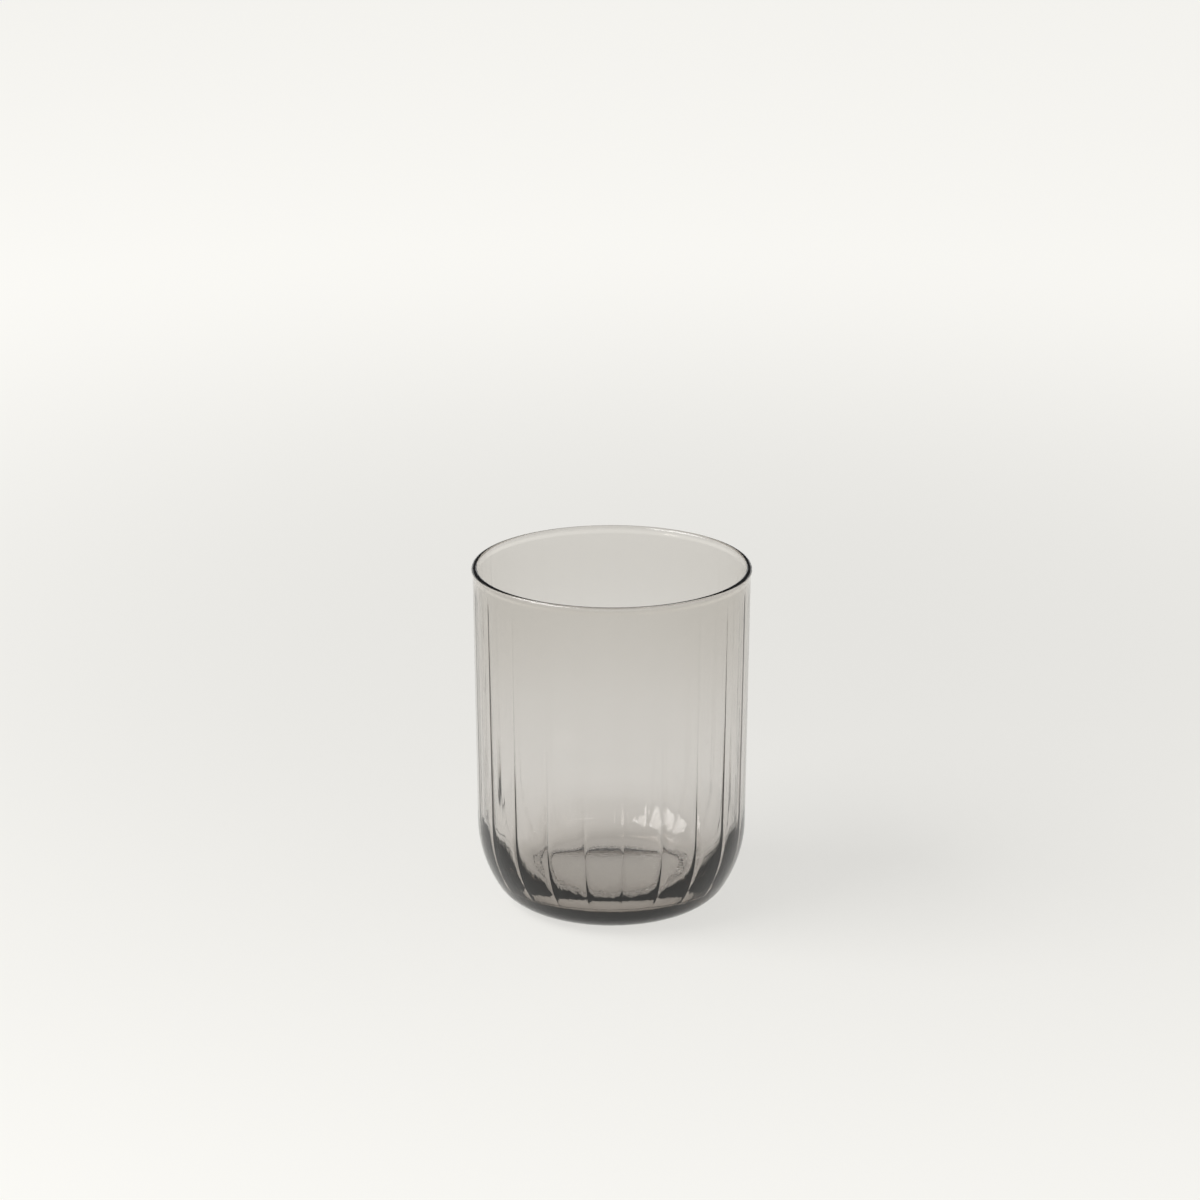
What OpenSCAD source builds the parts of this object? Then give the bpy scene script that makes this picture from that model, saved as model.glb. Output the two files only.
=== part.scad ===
// Smoke-grey optic tumbler: a straight-sided drinking glass with a round heel,
// a thick base and fine upright ribs moulded on the inside.
// Millimetres. The origin is the centre of the foot, on the table, with +Z up.
// The five nodes are zones of one glass and meet face to face.

/* [Overall] */
// Height from the table to the top of the lip
height = 100.4; // [90:0.1:120]
// Outside diameter across the lip bead
lip_d = 80; // [72:0.1:92]

/* [Lip] */
// Height of the plain lip above the ribs
lip_h = 3; // [2:0.1:6]
// Thickness of the fire-polished bead
bead_t = 1.75; // [1.5:0.05:2.2]
// How far the bead stands out from the outside of the wall
bead_proud = 0.35; // [0.1:0.05:0.5]

/* [Side wall] */
// Wall thickness just below the lip
wall_top_t = 1.4; // [1.1:0.1:1.8]
// Wall thickness where the wall meets the heel
wall_heel_t = 1.7; // [1.4:0.1:2.4]
// Draft of the outside, in degrees from upright
wall_draft = 0.62; // [0.2:0.01:1.2]

/* [Heel] */
// Radius of the heel's upper curve, next to the wall
heel_side_r = 34.7; // [28:0.1:40]
// Radius of the heel's lower curve, next to the table
heel_corner_r = 11; // [8:0.1:14]
// How far the foot's edge lies inside the lip's outside
foot_inset = 15.7; // [13.8:0.1:17.6]
// Height of the heel zone, where the side wall takes over
heel_h = 18.6; // [16:0.1:22]

/* [Inside] */
// Thickness of the glass under the drink
floor_t = 7.2; // [6:0.1:9]
// How far the flat floor's edge lies inside the foot's edge
floor_inset = 0.6; // [0.2:0.1:1]
// Radius of the inside's upper curve, next to the wall
inner_side_r = 28; // [23:0.1:33]
// Radius of the inside's lower curve, next to the floor
inner_corner_r = 9; // [7:0.1:10.5]

/* [Ribs] */
// Number of ribs around the inside
rib_count = 21; // [12:1:32]
// Height of a rib where it is strongest, in the heel
rib_heel_h = 0.45; // [0.3:0.05:0.8]
// Height of a rib where it fades out under the lip
rib_top_h = 0.15; // [0.1:0.05:0.4]
// Width of a rib at the top of the heel
rib_w = 0.8; // [0.6:0.05:2]
// How deep the rib sinks under the floor, which ends it before the base
rib_sink = 0.2; // [0.2:0.05:0.5]
// Turn of the first rib to the right of the front, in degrees
rib_turn = 5.4; // [0:0.1:17]

/* [Base] */
// Height of the bearing ring that the glass stands on
ring_h = 0.5; // [0.3:0.05:1]
// Width of the bearing ring
ring_w = 2.8; // [2:0.1:4]
// Depth of the hollow under the base, above the bearing ring
push_up = 1; // [0.4:0.1:2]
// Number of grip notches around the bearing ring
notch_count = 80; // [40:1:100]
// Depth of a grip notch
notch_depth = 0.2; // [0.1:0.05:0.25]
// Width of the plain land outside the notches
land_w = 1.2; // [0.8:0.1:1.6]

/* [Hidden] */
$fn = 180;

smoke = [0.47, 0.45, 0.42, 0.6];
// Overlap that fuses a rib to its wall, and lets a cut pass through its face
bite = 0.15;

// Outside of the wall: a straight line from lip_foot, leaning in by wall_draft
lip_z = height - lip_h;
lip_foot = [lip_d / 2 - bead_proud, lip_z];
wall_out = [cos(wall_draft), -sin(wall_draft)];
wall_down = [-sin(wall_draft), -cos(wall_draft)];
function wall_r(z) = lip_foot.x - (lip_z - z) * tan(wall_draft);

// How far down a wall its upper arc starts, so that it is tangent to the wall and to the lower arc
function arc_drop(start, down, gap) = -start * down - sqrt((start * down) ^ 2 - start * start + gap ^ 2);

// Outside of the heel: two arcs, tangent to the wall, to each other and to the foot
foot_r = lip_d / 2 - foot_inset;
corner_c = [foot_r, ring_h + heel_corner_r];
side_drop = arc_drop(lip_foot - heel_side_r * wall_out - corner_c, wall_down, heel_side_r - heel_corner_r);
heel_top = lip_foot + side_drop * wall_down;
side_c = heel_top - heel_side_r * wall_out;

// Inside: a straight wall line and two arcs, tangent in the same way, to the flat floor
in_top = [lip_foot.x - wall_top_t, lip_z];
in_heel = [heel_top.x - wall_heel_t, heel_top.y];
in_lean = (in_top.x - in_heel.x) / (in_top.y - in_heel.y);
in_out = [cos(atan(in_lean)), -sin(atan(in_lean))];
in_down = [in_out.y, -in_out.x];
in_c = [foot_r - floor_inset, floor_t + inner_corner_r];
in_drop = arc_drop(in_top - inner_side_r * in_out - in_c, in_down, inner_side_r - inner_corner_r);
in_foot = in_top + in_drop * in_down;
in_side_c = in_foot - inner_side_r * in_out;
function in_r(z) = in_top.x - (lip_z - z) * in_lean;

// The base ends over the ring's plain land
base_r = foot_r - land_w;

// Rib crests: the inside line and arcs, moved in by the rib's height and down by its sink
rib_move = -[rib_heel_h, rib_sink];
rib_side_c = in_side_c + rib_move;
rib_top = in_top - [rib_top_h, 0];
rib_lean = atan((rib_top.x - rib_side_c.x - inner_side_r) / (rib_top.y - rib_side_c.y));
rib_foot = rib_side_c + inner_side_r * [cos(rib_lean), -sin(rib_lean)];
rib_angle = 2 * asin(rib_w / 2 / in_foot.x);

// Bearing ring
ring_in_r = foot_r - ring_w;
push_up_r = (ring_in_r ^ 2 + push_up ^ 2) / (2 * push_up);

// Half section of a cup: a flat floor, a lower arc around c, an upper arc around s, and a wall from foot to top
module cup_section(c, c_r, s, s_r, foot, top) {
    out = (c - s) / norm(c - s);
    edge = c - [0, c_r];
    polygon([[0, edge.y], edge, foot, top, [0, top.y]]);
    intersection() {
        translate(c) circle(c_r);
        polygon([c, c + 2 * c_r * out, c - [0, 2 * c_r]]);
    }
    intersection() {
        translate(s) circle(s_r);
        polygon([edge, edge + 2 * (c + c_r * out - edge), [lip_d, foot.y], [0, foot.y]]);
    }
}

// Half section of the glass without its cavity, with the wall carried on up to the lip's top
module outside_section() {
    cup_section(corner_c, heel_corner_r, side_c, heel_side_r, heel_top, [wall_r(height), height]);
}

// Half section of the drink's space, or of that space grown into the glass
module drink_section(grow = 0, top_z = height) {
    cup_section(in_c, inner_corner_r + grow, in_side_c, inner_side_r + grow, in_foot + grow * in_out,
        [in_r(top_z) + grow, top_z]);
}

// Half section of the plain glass outside a radius
module glass_section(r0) {
    difference() {
        intersection() {
            outside_section();
            translate([r0, 0]) square([lip_d, height]);
        }
        drink_section();
    }
}

// Half section of a rib: it grows from the lip to the heel and sinks into the floor
module rib_section() {
    difference() {
        drink_section(bite, lip_z + bite);
        cup_section(in_c + rib_move, inner_corner_r, rib_side_c, inner_side_r, rib_foot,
            rib_top + (height - lip_z) * [tan(rib_lean), 1]);
    }
}

// Wall and heel as one ribbed shell around the base
module ribbed_shell() {
    rotate_extrude() glass_section(base_r);
    for (i = [0 : rib_count - 1]) {
        rotate(rib_turn - 90 - rib_angle / 2 + i * 360 / rib_count)
            rotate_extrude(angle = rib_angle) intersection() {
                rib_section();
                translate([base_r, 0]) square(height);
            }
    }
}

module lip() {
    bead_r = bead_t / 2;
    bead_c = [lip_d / 2 - bead_r, height - bead_r];
    color(smoke) rotate_extrude() {
        polygon([in_top, lip_foot, bead_c + [bead_r / 2, 0], bead_c - [bead_r / 2, 0]]);
        translate(bead_c) circle(bead_r);
    }
}

module side_wall() {
    color(smoke) intersection() {
        ribbed_shell();
        translate([0, 0, heel_h]) cylinder(h = lip_z - heel_h, d = 2 * lip_d);
    }
}

module heel() {
    color(smoke) difference() {
        ribbed_shell();
        translate([0, 0, heel_h]) cylinder(h = height, d = 2 * lip_d);
    }
}

module base() {
    color(smoke) rotate_extrude() difference() {
        intersection() {
            outside_section();
            square([base_r, height]);
        }
        drink_section();
        translate([0, ring_h + push_up - push_up_r]) circle(push_up_r, $fn = 720);
    }
}

module bearing_ring() {
    notch_side = notch_depth * sqrt(2);
    notch_l = ring_w - land_w;
    color(smoke) difference() {
        rotate_extrude() translate([ring_in_r, 0]) square([ring_w, ring_h]);
        for (i = [0 : notch_count - 1]) {
            rotate(i * 360 / notch_count) translate([ring_in_r + (notch_l - bite) / 2, 0, 0])
                rotate([45, 0, 0]) cube([notch_l + bite, notch_side, notch_side], center = true);
        }
    }
}

lip();
side_wall();
heel();
base();
bearing_ring();
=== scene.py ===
"""Smoke-grey optic tumbler: one body of tinted glass on a pale floor, seen as in the photograph."""

import math

import bpy
import numpy as np
from mathutils import Matrix, Vector


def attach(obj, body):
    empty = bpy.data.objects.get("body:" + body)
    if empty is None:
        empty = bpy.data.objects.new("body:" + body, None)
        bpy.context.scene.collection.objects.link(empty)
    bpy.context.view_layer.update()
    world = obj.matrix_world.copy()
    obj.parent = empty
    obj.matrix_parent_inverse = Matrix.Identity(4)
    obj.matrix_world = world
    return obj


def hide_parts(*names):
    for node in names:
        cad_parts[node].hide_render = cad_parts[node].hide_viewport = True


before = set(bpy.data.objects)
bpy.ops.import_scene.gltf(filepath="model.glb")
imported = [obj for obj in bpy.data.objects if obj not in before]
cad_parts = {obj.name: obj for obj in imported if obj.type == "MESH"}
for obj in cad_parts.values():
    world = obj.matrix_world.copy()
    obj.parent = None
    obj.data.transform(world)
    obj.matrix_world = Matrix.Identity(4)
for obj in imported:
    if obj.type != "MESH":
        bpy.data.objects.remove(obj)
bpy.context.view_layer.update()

MM = 0.001

# Sizes of the glass in millimetres, as in the part's source
HEIGHT, LIP_D, LIP_H = 100.4, 80.0, 3.0
BEAD_R, BEAD_PROUD = 0.875, 0.35
WALL_TOP_T, WALL_HEEL_T = 1.4, 1.7
WALL_DRAFT = math.radians(0.62)
HEEL_SIDE_R, HEEL_CORNER_R, FOOT_R = 34.7, 11.0, 24.3
FLOOR_T, FLOOR_R, INNER_SIDE_R, INNER_CORNER_R = 7.2, 23.7, 28.0, 9.0
RIB_COUNT, RIB_TURN = 21, math.radians(5.4 - 90)
RING_H, RING_W, PUSH_UP = 0.5, 2.8, 1.0
NOTCH_COUNT, NOTCH_DEPTH, LAND_W = 80, 0.2, 1.2

# The ribs' soft section, a little lower than the plain fins of the solids: height in the heel and under the lip,
# sink into the floor, length of a hollow flank, roundness of the crest, and the power by which they rise
RIB_HEEL_H, RIB_TOP_H, RIB_SINK = 0.34, 0.08, 0.1
RIB_W, RIB_CREST, RIB_RISE = 0.6, 0.2, 3
# The ribs start this far under the lip's foot, and reach their height in this share of the wall
RIB_START, RIB_FADE = 0.3, 1 / 12

# The bead's soft neck starts this far above the lip's foot
NECK_START = 0.3

# Rounded edges of the bearing ring: distance from its inner or outer radius, and height above the table
INNER_EDGE = ((-0.10, 0.46), (-0.02, 0.40), (0, 0.30), (0.02, 0.16), (0.08, 0.07), (0.18, 0.02), (0.35, 0))
OUTER_EDGE = ((-0.60, 0), (-0.22, 0), (-0.12, 0.02), (-0.04, 0.07), (0, 0.16), (0.02, 0.30), (0.10, 0.42),
              (0.26, 0.49))
# The heel's lower arc takes over this far outside the foot's edge
EDGE_RUN = 0.5
# Slope that ends the notches before the ring's plain land
NOTCH_END = 0.2

# Radii of the skin's rows on the hollow underside and on the ring's notched face, and shares of the floor's radius
HOLLOW_ROWS = (1, 3, 6, 9, 12, 14.5, 17, 19, 20.4, 21.2)
NOTCH_ROWS = (22.2, 22.6, 22.9, 23.0, 23.1, 23.2)
FLOOR_ROWS = (0.92, 0.8, 0.62, 0.42, 0.2, 0.08)
# Number of rows along each other stretch, and of columns around the ring, the outside and each rib
CORNER_ROWS, SIDE_ROWS, WALL_ROWS, NECK_ROWS, BEAD_ROWS, LIP_ROWS, INNER_ROWS = 22, 20, 14, 12, 20, 5, 40
RING_COLUMNS, OUT_COLUMNS, RIB_COLUMNS = NOTCH_COUNT * 8, 264, 28

DOWN = math.radians(-90)


def along(a, b, n):
    """n points from a to b, without a."""
    return [np.array(a) + (np.array(b) - np.array(a)) * (i + 1) / n for i in range(n)]


def arc(c, r, a0, a1, n):
    """n points on an arc around c from angle a0 to a1, without a0."""
    steps = [a0 + (a1 - a0) * (i + 1) / n for i in range(n)]
    return [np.array([c[0] + r * math.cos(a), c[1] + r * math.sin(a)]) for a in steps]


def leaning(angle):
    """Directions outward from and down along a wall that leans by an angle from upright."""
    return (np.array([math.cos(angle), -math.sin(angle)]), np.array([-math.sin(angle), -math.cos(angle)]))


def arc_drop(start, down, gap):
    """How far down a wall its upper arc starts, so that it is tangent to the wall and to the lower arc."""
    return -start @ down - math.sqrt((start @ down) ** 2 - start @ start + gap ** 2)


def heading(v):
    return math.atan2(v[1], v[0])


# Outside: a drafted wall line and two heel arcs
lip_z = HEIGHT - LIP_H
lip_foot = np.array([LIP_D / 2 - BEAD_PROUD, lip_z])
wall_out, wall_down = leaning(WALL_DRAFT)
corner_c = np.array([FOOT_R, RING_H + HEEL_CORNER_R])
side_start = lip_foot - HEEL_SIDE_R * wall_out - corner_c
heel_top = lip_foot + arc_drop(side_start, wall_down, HEEL_SIDE_R - HEEL_CORNER_R) * wall_down
side_c = heel_top - HEEL_SIDE_R * wall_out
heel_turn = heading(corner_c - side_c)
bead_c = np.array([LIP_D / 2 - BEAD_R, HEIGHT - BEAD_R])
bead_foot = lip_foot - NECK_START * wall_down

# Inside: a wall line and two arcs to the floor
in_top = np.array([lip_foot[0] - WALL_TOP_T, lip_z])
in_heel = np.array([heel_top[0] - WALL_HEEL_T, heel_top[1]])
in_lean = math.atan((in_top[0] - in_heel[0]) / (in_top[1] - in_heel[1]))
in_out, in_down = leaning(in_lean)
in_c = np.array([FLOOR_R, FLOOR_T + INNER_CORNER_R])
in_start = in_top - INNER_SIDE_R * in_out - in_c
in_foot = in_top + arc_drop(in_start, in_down, INNER_SIDE_R - INNER_CORNER_R) * in_down
in_side_c = in_foot - INNER_SIDE_R * in_out
in_turn = heading(in_c - in_side_c)

# Underside
ring_in = FOOT_R - RING_W
land_r = FOOT_R - LAND_W
hollow_r = (ring_in ** 2 + PUSH_UP ** 2) / (2 * PUSH_UP)


def even(n):
    return np.arange(n) * 2 * math.pi / n


def rib_columns(per_rib, even_share=0.22, gather=2.4):
    """Angles of the columns inside the glass, gathered at each rib's crest."""
    u = np.arange(per_rib) / per_rib - 0.5
    t = even_share * u + (1 - even_share) * 0.5 * np.sign(u) * np.abs(2 * u) ** gather
    ribs = np.arange(RIB_COUNT)[:, None]
    return np.sort(((RIB_TURN + (ribs + t) * 2 * math.pi / RIB_COUNT) % (2 * math.pi)).ravel())


RING_COLS, OUT_COLS, IN_COLS = even(RING_COLUMNS), even(OUT_COLUMNS), rib_columns(RIB_COLUMNS)

rows = []


def add_row(angles, r, z):
    rows.append((angles, np.broadcast_to(r, angles.shape), np.broadcast_to(z, angles.shape)))


def from_nearest(angles, pitch, turn=0):
    """Angle from the nearest of the places that repeat at a pitch."""
    return (angles - turn + pitch / 2) % pitch - pitch / 2


def rib_height(angles, r):
    """Height of the ribs along a row, as a share of the crest's: a round crest between hollow flanks."""
    x = from_nearest(angles, 2 * math.pi / RIB_COUNT, RIB_TURN) * r / RIB_W
    return np.exp(RIB_CREST - np.sqrt(x * x + RIB_CREST * RIB_CREST))


ring_wave = 0.2 * np.sin(23 * RING_COLS + 1) * np.sin(9 * RING_COLS)
ring_wave += 0.15 * np.sin(57 * RING_COLS + 2 * np.sin(5 * RING_COLS))


def ragged(r, reach_in=2.5, fade_in=2.4, reach_out=1.4, fade_out=1.2):
    """Radius of a row near the ring's inner edge, which is a little ragged, as it leaves the mould."""
    return r + ring_wave * max(0, min(1, (r - ring_in + reach_in) / fade_in, (ring_in + reach_out - r) / fade_out))


# Underside: a shallow hollow, and the notched ring that the glass stands on
for r in HOLLOW_ROWS:
    add_row(RING_COLS, ragged(r), RING_H + PUSH_UP - hollow_r + math.sqrt(hollow_r ** 2 - r ** 2))
from_notch = np.abs(from_nearest(RING_COLS, 2 * math.pi / NOTCH_COUNT))
for r, z in [(ring_in + d, z) for d, z in INNER_EDGE] + [(r, 0) for r in NOTCH_ROWS]:
    depth = (NOTCH_DEPTH - from_notch * r) * min(1, max(0, (land_r - r) / NOTCH_END))
    add_row(RING_COLS, ragged(r), np.maximum(z, depth))
for d, z in OUTER_EDGE:
    add_row(OUT_COLS, FOOT_R + d, z)

# Outside, from the foot to the bead and over it
for r, z in arc(corner_c, HEEL_CORNER_R, DOWN + EDGE_RUN / HEEL_CORNER_R, heel_turn, CORNER_ROWS):
    add_row(OUT_COLS, r, z)
for r, z in arc(side_c, HEEL_SIDE_R, heel_turn, -WALL_DRAFT, SIDE_ROWS):
    add_row(OUT_COLS, r, z)
for r, z in along(heel_top, bead_foot, WALL_ROWS):
    add_row(OUT_COLS, r, z)
for i in range(1, NECK_ROWS + 1):
    s = i / NECK_ROWS
    z = bead_foot[1] + (bead_c[1] - bead_foot[1]) * s
    add_row(OUT_COLS, bead_foot[0] + (LIP_D / 2 - bead_foot[0]) * s * s * (3 - 2 * s), z)
for r, z in arc(bead_c, BEAD_R, 0, math.pi, BEAD_ROWS):
    add_row(OUT_COLS, r, z)
for r, z in along([bead_c[0] - BEAD_R, bead_c[1]], in_top, LIP_ROWS):
    add_row(OUT_COLS, r, z)

# Inside, from the lip to the floor, with the ribs
rib_top = in_top + RIB_START * (in_foot - in_top) / (lip_z - in_foot[1])
for i, (r, z) in enumerate(along(rib_top, in_foot, INNER_ROWS)):
    s = (i + 1) / INNER_ROWS
    crest = (RIB_TOP_H + (RIB_HEEL_H - RIB_TOP_H) * s ** RIB_RISE) * min(1, s / RIB_FADE)
    h = crest * rib_height(IN_COLS, r)
    add_row(IN_COLS, r - in_out[0] * h, z - in_out[1] * h)
inner_arcs = [(p, in_side_c) for p in arc(in_side_c, INNER_SIDE_R, -in_lean, in_turn, INNER_ROWS)]
inner_arcs += [(p, in_c) for p in arc(in_c, INNER_CORNER_R, in_turn, DOWN, INNER_ROWS)]
for (r, z), c in inner_arcs:
    n = (c - (r, z)) / np.linalg.norm(c - (r, z))
    h = max(0, RIB_HEEL_H * -n[0] - RIB_SINK * n[1]) * rib_height(IN_COLS, r)
    add_row(IN_COLS, r + n[0] * h, z + n[1] * h)
for share in FLOOR_ROWS:
    add_row(IN_COLS, FLOOR_R * share, FLOOR_T)


def skin(rows, low, high):
    """Closed surface through all the rows, with a pole at each end. Rows with different columns are zipped."""
    verts, faces, first = [(0, 0, low)], [], []
    for angles, r, z in rows:
        first.append(len(verts))
        verts += zip(r * np.cos(angles), r * np.sin(angles), z)
    top = len(verts)
    verts.append((0, 0, high))
    n = len(rows[0][0])
    faces += [(0, first[0] + (i + 1) % n, first[0] + i) for i in range(n)]
    for (a, _, _), (b, _, _), fa, fb in zip(rows, rows[1:], first, first[1:]):
        na, nb = len(a), len(b)
        if na == nb:
            faces += [(fa + i, fa + (i + 1) % na, fb + (i + 1) % nb, fb + i) for i in range(na)]
            continue
        i = j = 0
        turn_a, turn_b = np.append(a, a[0] + 2 * math.pi), np.append(b, b[0] + 2 * math.pi)
        while i < na or j < nb:
            if j == nb or (i < na and turn_a[i + 1] <= turn_b[j + 1]):
                faces.append((fa + i % na, fa + (i + 1) % na, fb + j % nb))
                i += 1
            else:
                faces.append((fa + i % na, fb + (j + 1) % nb, fb + j % nb))
                j += 1
    n = len(rows[-1][0])
    faces += [(first[-1] + i, first[-1] + (i + 1) % n, top) for i in range(n)]
    return verts, faces


verts, faces = skin(rows, RING_H + PUSH_UP, FLOOR_T)
mesh = bpy.data.meshes.new("glass_body")
mesh.from_pydata([Vector(v) * MM for v in verts], [], faces)
mesh.polygons.foreach_set("use_smooth", [True] * len(mesh.polygons))
mesh.update()
glass = bpy.data.objects.new("glass_body", mesh)
bpy.context.scene.collection.objects.link(glass)


def add(nt, kind, **values):
    """New node with its settings and with values or links on its input sockets, named by position: i0, i1..."""
    node = nt.nodes.new("ShaderNode" + kind)
    for key, value in values.items():
        if key[0] == "i" and key[1:].isdigit():
            socket = node.inputs[int(key[1:])]
            if isinstance(value, bpy.types.NodeSocket):
                nt.links.new(value, socket)
            else:
                socket.default_value = value
        else:
            setattr(node, key, value)
    return node


def ramp(nt, value, start, end, low=0, high=1, kind="LINEAR"):
    """A value's way from start to end, as low to high, held at both ends."""
    return add(nt, "MapRange", interpolation_type=kind, i0=value, i1=start, i2=end, i3=low, i4=high).outputs[0]


def calc(nt, operation, a, b):
    return add(nt, "Math", operation=operation, i0=a, i1=b).outputs[0]


def smoke_glass():
    """Clear glass, smoky through its thickness. Heights are in metres."""
    mat = bpy.data.materials.new("smoke_glass")
    mat.use_nodes = True
    nt = mat.node_tree
    bsdf = nt.nodes["Principled BSDF"]
    bsdf.inputs["IOR"].default_value = 1.52
    bsdf.inputs["Transmission Weight"].default_value = 1
    # The glass's colour is made a little darker towards the lip
    place = add(nt, "TexCoord").outputs["Object"]
    height = add(nt, "SeparateXYZ", i0=place).outputs["Z"]
    upper = ramp(nt, height, 0.04, 0.095, kind="SMOOTHSTEP")
    shade = add(nt, "Mix", data_type="RGBA", i0=upper, i6=(1, 1, 1, 1), i7=(0.86, 0.85, 0.83, 1)).outputs[2]
    nt.links.new(shade, bsdf.inputs["Base Color"])
    # Faint upright draw lines in the wall, which turn into a fine ripple on the base
    drawn = add(nt, "Mapping", i0=place, i3=(1, 1, 0.035)).outputs[0]
    fine = add(nt, "TexNoise", i0=drawn, i2=420, i3=2, i4=0.55).outputs[0]
    relief = calc(nt, "MULTIPLY", fine, ramp(nt, height, 0.012, 0.03, 1, 0.35))
    bump = add(nt, "Bump", i0=1, i1=8e-5, i3=relief)
    nt.links.new(bump.outputs[0], bsdf.inputs["Normal"])
    # The ring that the glass stands on is worn matt
    worn = calc(nt, "MULTIPLY", ramp(nt, height, 0.0003, 0.0007, 0.5, 0), fine)
    nt.links.new(worn, bsdf.inputs["Roughness"])
    tint = add(nt, "VolumeAbsorption", i0=(0.24, 0.16, 0.08, 1), i1=92)
    nt.links.new(tint.outputs["Volume"], nt.nodes["Material Output"].inputs["Volume"])
    return mat


mesh.materials.append(smoke_glass())
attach(glass, "root")
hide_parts("lip", "side_wall", "heel", "base", "bearing_ring")

# Stage, in metres: a pale floor, a pale surround and one soft box
PAPER = (0.92, 0.91, 0.875, 1)
FLOOR_HALF, FLOOR_DROP = 6, 0.05 * MM
# Share of the floor's white that is even; the rest takes the shadow
EVEN_SHARE = 0.78
# The floor's glowing white is painted darker near this place and brighter far from it, a painted shade around the
# glass
PAINTED_SHADE_MIDDLE = (0, 0.2, 0)

corners = [(-FLOOR_HALF, -FLOOR_HALF, 0), (FLOOR_HALF, -FLOOR_HALF, 0),
           (FLOOR_HALF, FLOOR_HALF, 0), (-FLOOR_HALF, FLOOR_HALF, 0)]
floor_mesh = bpy.data.meshes.new("floor")
floor_mesh.from_pydata(corners, [], [(0, 1, 2, 3)])
floor = bpy.data.objects.new("floor", floor_mesh)
floor.location.z = -FLOOR_DROP
bpy.context.scene.collection.objects.link(floor)


def pale_paper():
    """Paper whose glowing white, painted darker around the glass as painted shade, is for the eye and for what
    shows in the glass.
    """
    mat = bpy.data.materials.new("paper")
    mat.use_nodes = True
    nt = mat.node_tree
    sheet = nt.nodes["Principled BSDF"]
    sheet.inputs["Base Color"].default_value = PAPER
    sheet.inputs["Roughness"].default_value = 0.9
    sheet.inputs["Specular IOR Level"].default_value = 0.1
    path = add(nt, "LightPath").outputs
    direct = calc(nt, "MAXIMUM", path["Is Camera Ray"], path["Is Glossy Ray"])
    seen = calc(nt, "MAXIMUM", direct, path["Is Transmission Ray"])
    place = add(nt, "TexCoord").outputs["Object"]
    away = add(nt, "VectorMath", operation="DISTANCE", i0=place, i1=PAINTED_SHADE_MIDDLE).outputs["Value"]
    # Painted shade: the glowing white is darker close to a place just behind the glass and brighter far from it
    painted_shade_level = ramp(nt, away, 0.05, 0.7, 0.86, 1.14, kind="SMOOTHSTEP")
    glow = add(nt, "Emission", i0=PAPER, i1=painted_shade_level)
    share = calc(nt, "MULTIPLY", seen, EVEN_SHARE)
    mixed = add(nt, "MixShader", i0=share, i1=sheet.outputs[0], i2=glow.outputs[0])
    nt.links.new(mixed.outputs[0], nt.nodes["Material Output"].inputs["Surface"])
    return mat


floor_mesh.materials.append(pale_paper())


def pale_surround():
    """A pale horizon all round, a taller pale band at the sides and in front, and dim above."""
    world = bpy.data.worlds.new("surround")
    world.use_nodes = True
    nt = world.node_tree
    way = add(nt, "SeparateXYZ", i0=add(nt, "TexCoord").outputs["Generated"]).outputs
    band = calc(nt, "MULTIPLY", ramp(nt, way["Z"], 0.42, 0.58, 1, 0), ramp(nt, way["Y"], 0.5, 0.75, 1, 0))
    sides = ramp(nt, band, 0, 1, 0.1, 1.2)
    horizon = ramp(nt, way["Z"], 0.17, 0.24, 0.88, 0)
    background = nt.nodes["Background"]
    background.inputs["Color"].default_value = (1, 1, 1, 1)
    nt.links.new(calc(nt, "MAXIMUM", sides, horizon), background.inputs["Strength"])
    return world


# Soft box up on the left, aimed at the glass
LAMP_PLACE, LAMP_AIM = Vector((-0.9, -0.29, 1.06)), Vector((0, 0, 0.05))
LAMP_WIDTH, LAMP_HEIGHT, LAMP_RADIANCE = 1.05, 0.75, 8

lamp = bpy.data.lights.new("soft_box_left", "AREA")
lamp.shape, lamp.size, lamp.size_y = "RECTANGLE", LAMP_WIDTH, LAMP_HEIGHT
lamp.energy = LAMP_RADIANCE * math.pi * LAMP_WIDTH * LAMP_HEIGHT
soft_box = bpy.data.objects.new("soft_box_left", lamp)
soft_box.location = LAMP_PLACE
soft_box.rotation_euler = (LAMP_AIM - LAMP_PLACE).to_track_quat("-Z", "Y").to_euler()
bpy.context.scene.collection.objects.link(soft_box)

# Camera fitted to the photograph: place in metres, downward and sideways turn, and focal length in its pixels
CAMERA_PLACE = (0, -1.0144, 0.4186)
PITCH, YAW = math.radians(17.954), -0.0033
FOCAL_PX, IMAGE_PX, SENSOR = 3732.8, 1200, 36

forward = Vector((math.sin(YAW) * math.cos(PITCH), math.cos(YAW) * math.cos(PITCH), -math.sin(PITCH)))
right = Vector((math.cos(YAW), -math.sin(YAW), 0))
cam = bpy.data.cameras.new("camera")
cam.sensor_width, cam.lens = SENSOR, FOCAL_PX / IMAGE_PX * SENSOR
camera = bpy.data.objects.new("camera", cam)
turn = Matrix((right, right.cross(forward), -forward)).transposed()
camera.matrix_world = Matrix.Translation(CAMERA_PLACE) @ turn.to_4x4()
bpy.context.scene.collection.objects.link(camera)

scene = bpy.context.scene
scene.world = pale_surround()
scene.camera = camera
scene.view_settings.view_transform = "Standard"
scene.cycles.max_bounces = 32
scene.cycles.transmission_bounces = 32
scene.cycles.glossy_bounces = 16
